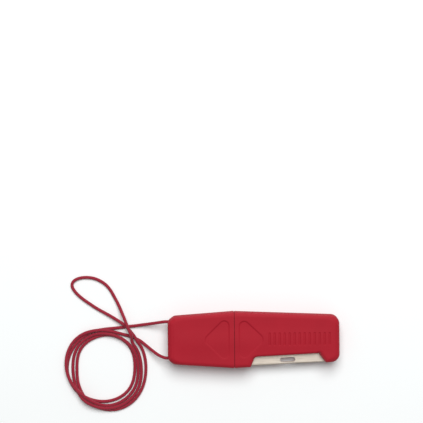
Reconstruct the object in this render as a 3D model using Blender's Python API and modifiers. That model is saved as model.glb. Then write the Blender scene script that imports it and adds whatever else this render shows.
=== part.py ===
"""Pocket fire starter: a ferrocerium rod in a two-part moulded case, with a striker blade and a cord.

The case lies flat on its back with its long axis along X.  The handle is at -X and holds the rod.
The sheath is at +X: it slides off the rod along +X and carries the striker blade in a window at -Y.
The origin is under the middle of the case, on the surface that it lies on.  Units are metres.
"""

import math

import bmesh
import bpy
from mathutils import Matrix, Vector

# ---- Driving dimensions ------------------------------------------------------------------------

GAP = 0.0003                    # between pieces that touch
CASE_LEFT = -0.0500
CASE_RIGHT = 0.0500
CASE_HEIGHT = 0.0150
MID_Z = CASE_HEIGHT / 2         # the shells part at mid height, where the rod, blade and cord lie
SEAM_X = -0.0112                # where handle and sheath meet
RIM_ROUNDING = 0.0024

# Upper half of the case's outline, left to right: x, y, corner radius.  The lower half mirrors it.
CASE_CORNERS = (
    (CASE_LEFT, 0.01155, 0.0028),
    (-0.0465, 0.01440, 0.0028),
    (-0.0120, 0.01665, 0.0),
    (CASE_RIGHT, 0.01385, 0.0050),
)

# Striker window, a notch through the sheath's lower edge: x, y, corner radius.
WINDOW_CORNERS = (
    (-0.00303, -0.0190, 0.0),
    (0.00048, -0.01049, 0.0008),
    (0.03827, -0.00864, 0.0008),
    (0.04535, -0.0190, 0.0),
)

# Ferrocerium rod.
ROD_RADIUS = 0.0040
ROD_LEFT = -0.0335
ROD_RIGHT = 0.0370
ROD_CHAMFER = 0.0006
SHEATH_BORE_RADIUS = 0.0045
SHEATH_BORE_RIGHT = 0.0395

# Collar that grips the rod: a flange trapped in the handle and a spigot that plugs the sheath.
COLLAR_HALF_HEIGHT = 0.0052
FLANGE_LEFT = -0.0240
FLANGE_RIGHT = -0.0150
FLANGE_HALF_WIDTH = 0.0114
SPIGOT_RIGHT = -0.0065
SPIGOT_HALF_WIDTH = 0.0095
SPIGOT_ROUNDING = 0.0016

# Striker blade: x, y, corner radius.
BLADE_THICKNESS = 0.0015
BLADE_CORNERS = (
    (-0.0046, -0.0060, 0.0010),
    (-0.0046, -0.0132, 0.0),
    (-0.0034, -0.0132, 0.0),
    (-0.0010, -0.01552, 0.0),
    (0.0412, -0.01366, 0.0),
    (0.0438, -0.0113, 0.0),
    (0.0456, -0.0113, 0.0010),
    (0.0456, -0.0060, 0.0010),
)
BLADE_SLOT_CENTRE = (0.0199, -0.0120)
BLADE_SLOT_LENGTH = 0.0088
BLADE_SLOT_WIDTH = 0.0024
BLADE_SLOPE = math.radians(2.8)
BLADE_POSTS = ((-0.0018, -0.0084), (0.0425, -0.0086))
BLADE_POST_RADIUS = 0.0010

# Chamber in the handle's end for the cord's knot, and the two holes that the cord leaves by.
CHAMBER_LEFT = -0.0472
CHAMBER_RIGHT = -0.0365
CHAMBER_HALF_WIDTH = 0.0125
CHAMBER_HALF_HEIGHT = 0.0045
CORD_HOLE_Y = 0.01065
CORD_HOLE_RADIUS = 0.00128

# Cord.
CORD_DIAMETER = 0.0019
CORD_STEP = 0.0038              # spacing of the points read from a cord's smooth curve
KNOT_X = -0.0415
KNOT_RADIUS = 0.0027
KNOT_HALF_LENGTH = 0.0031
COIL_CENTRE = (-0.0869, -0.0177)
COIL_OUTER_RADIUS = 0.0244
COIL_INNER_RADIUS = 0.0168
COIL_HEIGHT = 0.0042
COIL_ROUNDING = 0.0008

# Cord routes, each from the end nearer the case.
UPPER_LEAD_ROUTE = (
    (-0.0415, 0.0036, MID_Z),
    (-0.0420, 0.0068, MID_Z),
    (-0.0441, 0.0096, MID_Z),
    (-0.0472, 0.01065, MID_Z),
    (-0.0499, 0.01065, MID_Z),
    (-0.0522, 0.0106, 0.0072),
    (-0.0564, 0.0099, 0.0056),
    (-0.0612, 0.0091, 0.0036),
    (-0.0660, 0.0084, 0.0019),
    (-0.0702, 0.0078, 0.0011),
    (-0.0744, 0.0074, 0.00095),
    (-0.0779, 0.0070, 0.00095),
)
LOWER_LEAD_ROUTE = (
    (-0.0415, -0.0036, MID_Z),
    (-0.0420, -0.0068, MID_Z),
    (-0.0441, -0.0096, MID_Z),
    (-0.0472, -0.01065, MID_Z),
    (-0.0499, -0.01065, MID_Z),
    (-0.0524, -0.0103, 0.0072),
    (-0.0557, -0.0090, 0.0058),
    (-0.0596, -0.0064, 0.0038),
    (-0.0627, -0.0041, 0.0022),
    (-0.0651, -0.0025, 0.0013),
)
BIGHT_ROUTE = (
    (-0.0704, 0.0024, 0.0032),
    (-0.0728, 0.0054, 0.0031),
    (-0.0748, 0.0077, 0.0030),
    (-0.0775, 0.0098, 0.0027),
    (-0.0819, 0.0126, 0.0020),
    (-0.0867, 0.0153, 0.0013),
    (-0.0914, 0.0179, 0.00095),
    (-0.0961, 0.0210, 0.00095),
    (-0.1008, 0.0244, 0.00095),
    (-0.1043, 0.0277, 0.00095),
    (-0.1062, 0.0305, 0.00095),
    (-0.1066, 0.0326, 0.00095),
    (-0.1056, 0.0345, 0.00095),
    (-0.1033, 0.0359, 0.00095),
    (-0.1001, 0.0366, 0.00095),
    (-0.0965, 0.0366, 0.00095),
    (-0.0930, 0.0359, 0.00095),
    (-0.0895, 0.0343, 0.00095),
    (-0.0865, 0.0321, 0.00095),
    (-0.0839, 0.0290, 0.00095),
    (-0.0819, 0.0255, 0.0010),
    (-0.0797, 0.0214, 0.0015),
    (-0.0778, 0.0174, 0.0028),
    (-0.0760, 0.0134, 0.0044),
    (-0.0742, 0.0090, 0.0054),
    (-0.0728, 0.0056, 0.0054),
    (-0.0716, 0.0028, 0.0052),
)

PARTS = "fire_starter"
CUTTERS = "cutters"


# ---- Scene and materials -----------------------------------------------------------------------

def clear_scene():
    for obj in list(bpy.data.objects):
        bpy.data.objects.remove(obj)


def make_collection(name):
    collection = bpy.data.collections.new(name)
    bpy.context.scene.collection.children.link(collection)
    return collection


def make_material(name, colour, roughness, metallic=0.0):
    material = bpy.data.materials.new(name)
    material.use_nodes = True
    shader = material.node_tree.nodes["Principled BSDF"]
    shader.inputs["Base Color"].default_value = (*colour, 1.0)
    shader.inputs["Roughness"].default_value = roughness
    shader.inputs["Metallic"].default_value = metallic
    return material


def place(obj, collection_name):
    """Put an object in its collection; a cutter is shown as wire and never rendered."""
    for collection in list(obj.users_collection):
        collection.objects.unlink(obj)
    bpy.data.collections[collection_name].objects.link(obj)
    if collection_name == CUTTERS:
        obj.hide_render = True
        obj.display_type = "WIRE"
    return obj


def object_from_bmesh(bm, name, collection_name=CUTTERS):
    mesh = bpy.data.meshes.new(name)
    bm.to_mesh(mesh)
    bm.free()
    return place(bpy.data.objects.new(name, mesh), collection_name)


# ---- Shape helpers -----------------------------------------------------------------------------

def round_corners(corners, step=math.radians(12)):
    """Outline points of a polygon of (x, y, radius) corners, each radius drawn as an arc."""
    points = []
    for i, (x, y, radius) in enumerate(corners):
        here = Vector((x, y))
        to_last = (Vector(corners[i - 1][:2]) - here).normalized()
        to_next = (Vector(corners[(i + 1) % len(corners)][:2]) - here).normalized()
        if radius == 0:
            points.append(here)
            continue
        half = to_last.angle(to_next) / 2
        centre = here + (to_last + to_next).normalized() * radius / math.sin(half)
        start = here + to_last * radius / math.tan(half) - centre
        sweep = start.angle_signed(here + to_next * radius / math.tan(half) - centre)
        count = max(2, math.ceil(abs(sweep) / step))
        for k in range(count + 1):
            points.append(centre + Matrix.Rotation(-sweep * k / count, 2) @ start)
    return points


def mirrored_outline(upper):
    """Closed outline whose lower half mirrors its upper half, drawn clockwise from the left."""
    lower = [(x, -y, radius) for x, y, radius in reversed(upper)]
    return round_corners([*upper, *lower])


def curve_to_mesh(curve, name, collection_name):
    """Make a mesh object from a flat curve, weld its caps into single faces and remove the curve."""
    bpy.context.view_layer.update()
    depsgraph = bpy.context.evaluated_depsgraph_get()
    mesh = bpy.data.meshes.new_from_object(curve.evaluated_get(depsgraph))
    bm = bmesh.new()
    bm.from_mesh(mesh)
    bmesh.ops.remove_doubles(bm, verts=bm.verts, dist=1e-6)
    bmesh.ops.dissolve_limit(bm, angle_limit=math.radians(1), verts=bm.verts, edges=bm.edges)
    bmesh.ops.recalc_face_normals(bm, faces=bm.faces)
    obj = object_from_bmesh(bm, name, collection_name)
    obj.matrix_world = curve.matrix_world.copy()
    bpy.data.objects.remove(curve)
    return obj


def prism(name, outline, low_z, high_z, collection_name=CUTTERS):
    """Solid plate of a flat outline between two heights."""
    data = bpy.data.curves.new(name, "CURVE")
    data.dimensions = "2D"
    data.fill_mode = "BOTH"
    data.extrude = (high_z - low_z) / 2
    spline = data.splines.new("POLY")
    spline.points.add(len(outline) - 1)
    for point, (x, y) in zip(spline.points, outline):
        point.co = (x, y, 0.0, 1.0)
    spline.use_cyclic_u = True
    curve = place(bpy.data.objects.new(name + "_outline", data), collection_name)
    curve.location.z = (low_z + high_z) / 2
    return curve_to_mesh(curve, name, collection_name)


def box(name, low, high, collection_name=CUTTERS):
    bm = bmesh.new()
    bmesh.ops.create_cube(bm, size=1.0)
    size = Vector(high) - Vector(low)
    bmesh.ops.scale(bm, vec=size, verts=bm.verts)
    bmesh.ops.translate(bm, vec=(Vector(high) + Vector(low)) / 2, verts=bm.verts)
    return object_from_bmesh(bm, name, collection_name)


def cylinder_along_x(name, left, right, radius, y=0.0, segments=32):
    bm = bmesh.new()
    turn = Matrix.Translation(((left + right) / 2, y, MID_Z)) @ Matrix.Rotation(math.pi / 2, 4, "Y")
    bmesh.ops.create_cone(bm, cap_ends=True, segments=segments, radius1=radius, radius2=radius,
                          depth=right - left, matrix=turn)
    return object_from_bmesh(bm, name)


def cylinder_along_z(name, x, y, radius, half_height, segments=16):
    bm = bmesh.new()
    bmesh.ops.create_cone(bm, cap_ends=True, segments=segments, radius1=radius, radius2=radius,
                          depth=2 * half_height, matrix=Matrix.Translation((x, y, MID_Z)))
    return object_from_bmesh(bm, name)


def turned(name, profile, segments, collection_name=PARTS):
    """Turn a profile of (radius, z) points, listed down its outer side, about Z."""
    mesh = bpy.data.meshes.new(name)
    closed = profile[0][0] > 0
    edges = [(i, i + 1) for i in range(len(profile) - 1)]
    if closed:
        edges.append((len(profile) - 1, 0))
    mesh.from_pydata([(radius, 0.0, z) for radius, z in profile], edges, [])
    obj = place(bpy.data.objects.new(name, mesh), collection_name)
    screw = obj.modifiers.new("Turn", "SCREW")
    screw.steps = segments
    screw.render_steps = segments
    screw.use_merge_vertices = True
    screw.merge_threshold = 1e-5
    screw.use_normal_calculate = False
    return obj


def boolean(obj, cutter, operation="DIFFERENCE"):
    modifier = obj.modifiers.new(cutter.name, "BOOLEAN")
    modifier.operation = operation
    modifier.solver = "EXACT"
    modifier.object = cutter


def round_edges(obj, width, segments=3, angle=math.radians(50)):
    modifier = obj.modifiers.new("Rounded edges", "BEVEL")
    modifier.width = width
    modifier.segments = segments
    modifier.limit_method = "ANGLE"
    modifier.angle_limit = angle


def smooth_shading(obj, angle=math.radians(35)):
    obj.data.shade_smooth()
    obj.data.set_sharp_from_angle(angle=angle)


# ---- Case shells -------------------------------------------------------------------------------

def shell_half(name, left, right, low_z, high_z, cutters, material):
    """One moulded half shell: the case's rounded slab, kept inside a box and hollowed."""
    obj = prism(name, mirrored_outline(CASE_CORNERS), 0.0, CASE_HEIGHT, PARTS)
    round_edges(obj, RIM_ROUNDING)
    margin = 0.01
    keep = box(name + "_keep", (left, -2 * margin, low_z), (right, 2 * margin, high_z))
    boolean(obj, keep, "INTERSECT")
    for cutter in cutters:
        boolean(obj, cutter)
    obj.data.materials.append(material)
    return obj


def handle_cutters():
    """Hollows of the handle: collar seat, rod seat, knot chamber and the two cord holes."""
    half = COLLAR_HALF_HEIGHT + GAP
    low_z = MID_Z - half
    high_z = MID_Z + half
    wide = FLANGE_HALF_WIDTH + GAP
    narrow = SPIGOT_HALF_WIDTH + GAP
    seat = box("collar_seat", (FLANGE_LEFT - GAP, -wide, low_z), (FLANGE_RIGHT + GAP, wide, high_z))
    mouth = box("handle_mouth", (FLANGE_RIGHT, -narrow, low_z + GAP), (SEAM_X + 0.001, narrow, high_z - GAP))
    rod_seat = cylinder_along_x("rod_seat", ROD_LEFT - GAP, FLANGE_LEFT, ROD_RADIUS + GAP)
    low = (CHAMBER_LEFT, -CHAMBER_HALF_WIDTH, MID_Z - CHAMBER_HALF_HEIGHT)
    high = (CHAMBER_RIGHT, CHAMBER_HALF_WIDTH, MID_Z + CHAMBER_HALF_HEIGHT)
    cutters = [seat, mouth, rod_seat, box("knot_chamber", low, high)]
    for side, y in (("upper", CORD_HOLE_Y), ("lower", -CORD_HOLE_Y)):
        cutters.append(cylinder_along_x("cord_hole_" + side, CASE_LEFT - 0.002, CHAMBER_LEFT + 0.001,
                                        CORD_HOLE_RADIUS, y, segments=20))
    return cutters


def blade_outline(grow=0.0):
    """The blade's outline, grown outwards by a clearance."""
    corners = []
    for i, (x, y, radius) in enumerate(BLADE_CORNERS):
        here = Vector((x, y))
        before = (here - Vector(BLADE_CORNERS[i - 1][:2])).normalized()
        after = (Vector(BLADE_CORNERS[(i + 1) % len(BLADE_CORNERS)][:2]) - here).normalized()
        out_before = Vector((before.y, -before.x))
        out_after = Vector((after.y, -after.x))
        miter = (out_before + out_after).normalized()
        corner = here + miter * grow / miter.dot(out_before)
        corners.append((corner.x, corner.y, radius + grow if radius else 0.0))
    return round_corners(corners)


def sheath_cutters():
    """Hollows of the sheath: spigot mouth, rod bore, blade pocket with its posts, and the window."""
    half = COLLAR_HALF_HEIGHT
    wide = SPIGOT_HALF_WIDTH + GAP
    mouth = box("sheath_mouth", (SEAM_X - 0.001, -wide, MID_Z - half), (SPIGOT_RIGHT + GAP, wide, MID_Z + half))
    bore = cylinder_along_x("rod_bore", SPIGOT_RIGHT, SHEATH_BORE_RIGHT, SHEATH_BORE_RADIUS)
    half = BLADE_THICKNESS / 2 + GAP
    pocket = prism("blade_pocket", blade_outline(GAP), MID_Z - half, MID_Z + half)
    for i, (x, y) in enumerate(BLADE_POSTS):
        boolean(pocket, cylinder_along_z(f"blade_post_{i + 1}", x, y, BLADE_POST_RADIUS, 0.004))
    window = prism("striker_window", round_corners(WINDOW_CORNERS), -0.002, CASE_HEIGHT + 0.002)
    return [mouth, bore, pocket, window]


# ---- Inner pieces ------------------------------------------------------------------------------

def make_rod(material):
    """Round ferrocerium rod with chamfered ends, turned about Z and laid along X."""
    half = (ROD_RIGHT - ROD_LEFT) / 2
    inner = ROD_RADIUS - ROD_CHAMFER
    profile = [(0.0, half), (inner, half), (ROD_RADIUS, half - ROD_CHAMFER),
               (ROD_RADIUS, ROD_CHAMFER - half), (inner, -half), (0.0, -half)]
    rod = turned("ferro_rod", profile, 32)
    rod.rotation_euler.y = math.pi / 2
    rod.location = ((ROD_LEFT + ROD_RIGHT) / 2, 0.0, MID_Z)
    rod.data.materials.append(material)
    smooth_shading(rod)
    return rod


def make_collar(material):
    """Collar on the rod: a wide flange held in the handle and a rounded spigot for the sheath."""
    collar = box("rod_collar", (FLANGE_LEFT, -FLANGE_HALF_WIDTH, MID_Z - COLLAR_HALF_HEIGHT),
                 (FLANGE_RIGHT, FLANGE_HALF_WIDTH, MID_Z + COLLAR_HALF_HEIGHT), PARTS)
    half = COLLAR_HALF_HEIGHT - GAP
    spigot = box("spigot", (FLANGE_RIGHT - 0.002, -SPIGOT_HALF_WIDTH, MID_Z - half),
                 (SPIGOT_RIGHT, SPIGOT_HALF_WIDTH, MID_Z + half))
    round_edges(spigot, SPIGOT_ROUNDING)
    boolean(collar, spigot, "UNION")
    boolean(collar, cylinder_along_x("collar_bore", FLANGE_LEFT - 0.001, SPIGOT_RIGHT + 0.001,
                                     ROD_RADIUS + GAP))
    collar.data.materials.append(material)
    return collar


def make_blade(material):
    """Flat steel striker with a lengthwise slot and two holes for the shells' posts."""
    half = BLADE_THICKNESS / 2
    blade = prism("striker_blade", blade_outline(), MID_Z - half, MID_Z + half, PARTS)
    along = Vector((math.cos(BLADE_SLOPE), math.sin(BLADE_SLOPE))) * BLADE_SLOT_LENGTH / 2
    across = Vector((-along.y, along.x)).normalized() * BLADE_SLOT_WIDTH / 2
    centre = Vector(BLADE_SLOT_CENTRE)
    ends = (centre - along + across, centre + along + across, centre + along - across, centre - along - across)
    corners = [(end.x, end.y, 0.98 * BLADE_SLOT_WIDTH / 2) for end in ends]
    boolean(blade, prism("blade_slot", round_corners(corners, math.radians(20)), 0.004, 0.011))
    for i, (x, y) in enumerate(BLADE_POSTS):
        boolean(blade, cylinder_along_z(f"blade_hole_{i + 1}", x, y, BLADE_POST_RADIUS + GAP, 0.003))
    blade.data.materials.append(material)
    return blade


# ---- Cord --------------------------------------------------------------------------------------

def smooth_route(route, step):
    """Points a step apart along a smooth curve through a route's own points, none below the floor."""
    points = [Vector(p) for p in route]
    padded = [2 * points[0] - points[1], *points, 2 * points[-1] - points[-2]]
    dense = []
    for p0, p1, p2, p3 in zip(padded, padded[1:], padded[2:], padded[3:]):
        for k in range(8):
            t = k / 8
            dense.append(0.5 * (2 * p1 + (p2 - p0) * t + (2 * p0 - 5 * p1 + 4 * p2 - p3) * t ** 2
                                + (3 * p1 - p0 - 3 * p2 + p3) * t ** 3))
    dense.append(points[-1])
    lengths = [0.0]
    for a, b in zip(dense, dense[1:]):
        lengths.append(lengths[-1] + (b - a).length)
    count = max(2, round(lengths[-1] / step))
    read = []
    for i in range(count + 1):
        wanted = lengths[-1] * i / count
        k = max(j for j in range(len(lengths) - 1) if lengths[j] <= wanted)
        share = (wanted - lengths[k]) / (lengths[k + 1] - lengths[k])
        point = dense[k].lerp(dense[k + 1], share)
        point.z = max(point.z, CORD_DIAMETER / 2)
        read.append(point)
    return read


def cord_tube(name, route, material):
    data = bpy.data.curves.new(name, "CURVE")
    data.dimensions = "3D"
    data.bevel_depth = CORD_DIAMETER / 2
    data.bevel_resolution = 2
    data.use_fill_caps = True
    points = smooth_route(route, CORD_STEP)
    spline = data.splines.new("POLY")
    spline.points.add(len(points) - 1)
    for point, place_at in zip(spline.points, points):
        point.co = (*place_at, 1.0)
    data.materials.append(material)
    return place(bpy.data.objects.new(name, data), PARTS)


def make_coil(material):
    """Ring that the cord's turns fill, with rounded outer and inner edges."""
    profile = []
    corners = ((COIL_OUTER_RADIUS, COIL_HEIGHT, -1, -1, 90), (COIL_OUTER_RADIUS, 0.0, -1, 1, 0),
               (COIL_INNER_RADIUS, 0.0, 1, 1, -90), (COIL_INNER_RADIUS, COIL_HEIGHT, 1, -1, -180))
    for radius, z, inward, upward, start in corners:
        for k in range(3):
            angle = math.radians(start - 45 * k)
            profile.append((radius + COIL_ROUNDING * (inward + math.cos(angle)),
                            z + COIL_ROUNDING * (upward + math.sin(angle))))
    coil = turned("lanyard_coil", profile, 64)
    coil.location = (*COIL_CENTRE, 0.0)
    coil.data.materials.append(material)
    smooth_shading(coil)
    return coil


def make_knot(material):
    """Knot that joins the cord's two ends inside the handle, as a waisted bead along Y."""
    profile = [(0.0, KNOT_HALF_LENGTH)]
    for k in range(1, 8):
        turn = math.pi * k / 8
        waist = 1 - 0.12 * math.sin(turn) ** 8
        profile.append((KNOT_RADIUS * math.sin(turn) ** 0.7 * waist, KNOT_HALF_LENGTH * math.cos(turn)))
    profile.append((0.0, -KNOT_HALF_LENGTH))
    knot = turned("lanyard_knot", profile, 20)
    knot.rotation_euler.x = math.pi / 2
    knot.location = (KNOT_X, 0.0, MID_Z)
    knot.data.materials.append(material)
    smooth_shading(knot)
    return knot


# ---- Assembly ----------------------------------------------------------------------------------

def build():
    clear_scene()
    make_collection(PARTS)
    make_collection(CUTTERS)
    case_red = make_material("case_red", (0.45, 0.012, 0.022), 0.55)
    collar_red = make_material("collar_red", (0.36, 0.010, 0.018), 0.5)
    rod_grey = make_material("ferrocerium", (0.045, 0.043, 0.045), 0.6, 0.6)
    steel = make_material("striker_steel", (0.68, 0.62, 0.55), 0.35, 1.0)
    cord_red = make_material("cord_red", (0.30, 0.008, 0.018), 0.75)

    below = (0.0 - GAP, MID_Z - GAP / 2)
    above = (MID_Z + GAP / 2, CASE_HEIGHT + GAP)
    handle = (CASE_LEFT - 0.01, SEAM_X - GAP / 2)
    sheath = (SEAM_X + GAP / 2, CASE_RIGHT + 0.01)
    in_handle = handle_cutters()
    in_sheath = sheath_cutters()
    shell_half("handle_top_shell", *handle, *above, in_handle, case_red)
    shell_half("handle_bottom_shell", *handle, *below, in_handle, case_red)
    shell_half("sheath_top_shell", *sheath, *above, in_sheath, case_red)
    shell_half("sheath_bottom_shell", *sheath, *below, in_sheath, case_red)
    make_rod(rod_grey)
    make_collar(collar_red)
    make_blade(steel)
    make_knot(cord_red)
    make_coil(cord_red)
    cord_tube("lanyard_lead_upper", UPPER_LEAD_ROUTE, cord_red)
    cord_tube("lanyard_lead_lower", LOWER_LEAD_ROUTE, cord_red)
    cord_tube("lanyard_bight", BIGHT_ROUTE, cord_red)


build()
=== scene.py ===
"""Looks of a pocket fire starter: moulded red case, striker blade, ferrocerium rod and cord lanyard.

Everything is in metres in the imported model's frame: the case lies flat, +X runs from the handle to
the sheath, the striker window faces -Y and the surface that it lies on is z = 0.
"""

import math

import bpy
import numpy as np
from mathutils import Matrix, Vector
from mathutils.geometry import delaunay_2d_cdt


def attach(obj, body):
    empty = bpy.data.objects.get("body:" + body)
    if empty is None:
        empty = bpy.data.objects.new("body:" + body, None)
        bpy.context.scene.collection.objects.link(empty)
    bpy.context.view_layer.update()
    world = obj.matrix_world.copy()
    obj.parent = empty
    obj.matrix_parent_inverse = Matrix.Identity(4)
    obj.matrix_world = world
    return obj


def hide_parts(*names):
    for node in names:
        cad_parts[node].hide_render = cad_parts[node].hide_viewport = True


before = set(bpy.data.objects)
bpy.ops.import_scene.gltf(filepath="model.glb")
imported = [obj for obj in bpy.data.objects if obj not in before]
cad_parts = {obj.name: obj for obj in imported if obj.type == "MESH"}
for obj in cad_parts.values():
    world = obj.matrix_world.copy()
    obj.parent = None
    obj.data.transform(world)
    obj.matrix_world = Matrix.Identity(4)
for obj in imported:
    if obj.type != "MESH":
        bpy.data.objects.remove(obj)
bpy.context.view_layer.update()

MM = 0.001  # shapes are worked out in millimetres

# ---- Driving dimensions, in millimetres ----

# The CAD's, but for small changes to the outline and window to match the photo.
MID_Z = 7.5  # parting plane of the case
SEAM_X = -11.2  # where handle and sheath meet
CASE_PEAK = (-12.0, 16.65)  # the case's widest place
CASE_END = 50.0  # the case reaches from -50 to 50 along X
LEFT_CORNERS = ((-46.5, 14.2, 3.4), (-50.0, 11.55, 3.8))  # x, y, corner radius
RIGHT_CORNERS = ((50.0, -13.55, 5.0), (50.0, 14.1, 5.0))
WINDOW_CORNERS = ((-1.88, -16.19, 0.6), (0.70, -9.95, 2.4), (37.85, -8.12, 0.8), (41.9, -13.75, 1.5))
RIM_ROUNDING = 2.4

COLLAR_SEAT = (-24.3, -14.7, 11.7, 5.5)  # hollows: left, right, half width, half height
HANDLE_MOUTH = (-15.0, -10.0, 9.8, 5.2)
KNOT_CHAMBER = (-47.2, -36.5, 12.5, 4.5)
SHEATH_MOUTH = (-12.0, -6.2, 9.8, 5.2)
ROD_SEAT = (-33.8, -24.0, 4.3)  # left, right, radius
SHEATH_BORE = (-6.5, 39.5, 4.5)
CORD_HOLE = (-51.0, -46.0, 1.28)  # the same, for the two holes at Y 10.65 and -10.65
CORD_HOLE_Y = 10.65

BLADE_CORNERS = (  # x, y, corner radius
    (-4.6, -6.0, 1.0), (-4.6, -13.2, 0.0), (-3.4, -13.2, 0.0), (-1.0, -15.52, 0.0),
    (41.2, -13.66, 0.0), (43.8, -11.3, 0.0), (45.6, -11.3, 1.0), (45.6, -6.0, 1.0),
)
BLADE_THICKNESS = 1.5
BLADE_SLOT = (19.9, -12.0, 8.8, 2.4)  # centre, length, width
BLADE_SLOPE = math.radians(2.8)
BLADE_POSTS = ((-1.8, -8.4), (42.5, -8.6))
POST_RADIUS = 1.0

ROD_LEFT = -33.5
ROD_RIGHT = 37.0
ROD_RADIUS = 4.0
FLANGE = (-24.0, -15.0, 11.4, 5.2)  # left, right, half width, half height
SPIGOT_RIGHT = -6.5
SPIGOT = (9.5, 4.9)  # half width, half height

CORD_DIAMETER = 1.9
KNOT_CENTRE = (-41.5, 0.0)
COIL_CENTRE = (-86.9, -17.7)

# ---- Small helpers ----


def link(obj):
    bpy.context.scene.collection.objects.link(obj)
    return obj


def mesh_object(name, vertices, faces, smooth_angle, material):
    """An object from vertices in millimetres; edges sharper than smooth_angle degrees stay sharp."""
    mesh = bpy.data.meshes.new(name)
    mesh.from_pydata((np.asarray(vertices) * MM).tolist(), [], faces)
    mesh.validate()
    mesh.shade_smooth()
    mesh.set_sharp_from_angle(angle=math.radians(smooth_angle))
    mesh.materials.append(material)
    return link(bpy.data.objects.new(name, mesh))


def add_attribute(obj, name, values):
    attribute = obj.data.attributes.new(name, "FLOAT", "POINT")
    attribute.data.foreach_set("value", np.asarray(values, np.float32))


def smoothstep(t):
    t = np.clip(t, 0.0, 1.0)
    return t * t * (3 - 2 * t)


def run(line):
    """Distance along a line at each of its points."""
    return np.concatenate([[0], np.cumsum(np.linalg.norm(np.diff(line, axis=0), axis=1))])


def resample(line, step):
    """Points of a line again, about a step apart, with any further columns."""
    along = run(line[:, :3])
    at = np.linspace(0, along[-1], max(2, round(along[-1] / step) + 1))
    return np.stack([np.interp(at, along, line[:, k]) for k in range(line.shape[1])], axis=1)


def rectangle(half_width, half_height, radius=0.0, x=0.0, y=0.0):
    """Corners of a rectangle, anticlockwise, each with a radius."""
    signs = ((-1, -1), (1, -1), (1, 1), (-1, 1))
    return [(x + i * half_width, y + j * half_height, radius) for i, j in signs]


def round_of(n):
    """Each place in a ring of n with the one after it."""
    return [(k, (k + 1) % n) for k in range(n)]


def circle(x, y, radius, step):
    """Points round a circle, step degrees apart."""
    turn = np.radians(np.arange(0, 360, step))
    return np.stack([x + radius * np.cos(turn), y + radius * np.sin(turn)], axis=1)


def smooth_curve(points, per_span=8):
    p = np.asarray(points, float)
    p = np.vstack([2 * p[0] - p[1], p, 2 * p[-1] - p[-2]])
    t = np.linspace(0, 1, per_span, endpoint=False)[:, None]
    spans = []
    for p0, p1, p2, p3 in zip(p, p[1:], p[2:], p[3:]):
        spans.append(0.5 * (2 * p1 + (p2 - p0) * t + (2 * p0 - 5 * p1 + 4 * p2 - p3) * t ** 2
                            + (3 * p1 - p0 - 3 * p2 + p3) * t ** 3))
    return np.vstack([*spans, p[-2:-1]])


def rounded_path(corners, closed=True, step=9.0):
    """Points of a path of (x, y, radius) corners, each radius drawn as an arc."""
    corners = [(Vector((x, y)), radius) for x, y, radius in corners]
    points = []
    for i, (here, radius) in enumerate(corners):
        if radius == 0 or (not closed and i in (0, len(corners) - 1)):
            points.append(here)
            continue
        to_last = (corners[i - 1][0] - here).normalized()
        to_next = (corners[(i + 1) % len(corners)][0] - here).normalized()
        half = to_last.angle(to_next) / 2
        centre = here + (to_last + to_next).normalized() * radius / math.sin(half)
        start = here + to_last * radius / math.tan(half) - centre
        sweep = start.angle_signed(here + to_next * radius / math.tan(half) - centre)
        count = max(2, math.ceil(math.degrees(abs(sweep)) / step))
        points += [centre + Matrix.Rotation(-sweep * k / count, 2) @ start for k in range(count + 1)]
    return np.array([(p.x, p.y) for p in points])


# ---- Camera, floor and light ----

VIEW_CENTRE = (-23.8, 74.9)
VIEW_WIDTH = 247.5  # what the picture spans at the parting plane
VIEW_HEIGHT = 700.0  # above the parting plane
VIEW_ROLL = math.radians(-0.55)
SENSOR_WIDTH = 36.0

FLOOR_SIZE = 3.0  # metres
FLOOR_WHITE = (0.925, 0.95, 0.95, 1.0)
LIGHT_PLACE = (0.05, 0.56, 1.10)  # metres
LIGHT_AIM = (-0.02, 0.0, 0.0)
LIGHT_SIZE = 0.9
LIGHT_POWER = 14.8
ROOM_BRIGHTNESS = 0.3


def make_camera():
    data = bpy.data.cameras.new("camera")
    data.sensor_width = SENSOR_WIDTH
    data.lens = SENSOR_WIDTH * VIEW_HEIGHT / VIEW_WIDTH
    data.clip_start = 0.01
    camera = link(bpy.data.objects.new("camera", data))
    camera.location = Vector((*VIEW_CENTRE, MID_Z + VIEW_HEIGHT)) * MM
    camera.rotation_euler = (0.0, 0.0, VIEW_ROLL)
    bpy.context.scene.camera = camera


def make_floor():
    bpy.ops.mesh.primitive_plane_add(size=FLOOR_SIZE)
    floor = bpy.context.object
    floor.name = "floor"
    look = Look("floor_white", Base_Color=FLOOR_WHITE, Roughness=0.9, Specular_IOR_Level=0.1)
    floor.data.materials.append(look.material)


def make_light():
    """One large soft light high on the +Y side, in a dim white room."""
    data = bpy.data.lights.new("key", "AREA")
    data.shape = "DISK"
    data.size = LIGHT_SIZE
    data.energy = LIGHT_POWER
    light = link(bpy.data.objects.new("key", data))
    light.location = LIGHT_PLACE
    light.rotation_euler = (Vector(LIGHT_AIM) - Vector(LIGHT_PLACE)).to_track_quat("-Z", "Y").to_euler()
    world = bpy.context.scene.world or bpy.data.worlds.new("studio")
    bpy.context.scene.world = world
    world.use_nodes = True
    background = world.node_tree.nodes["Background"]
    background.inputs["Color"].default_value = (1.0, 1.0, 1.0, 1.0)
    background.inputs["Strength"].default_value = ROOM_BRIGHTNESS
    bpy.context.scene.view_settings.view_transform = "Standard"


# ---- Materials ----


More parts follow.
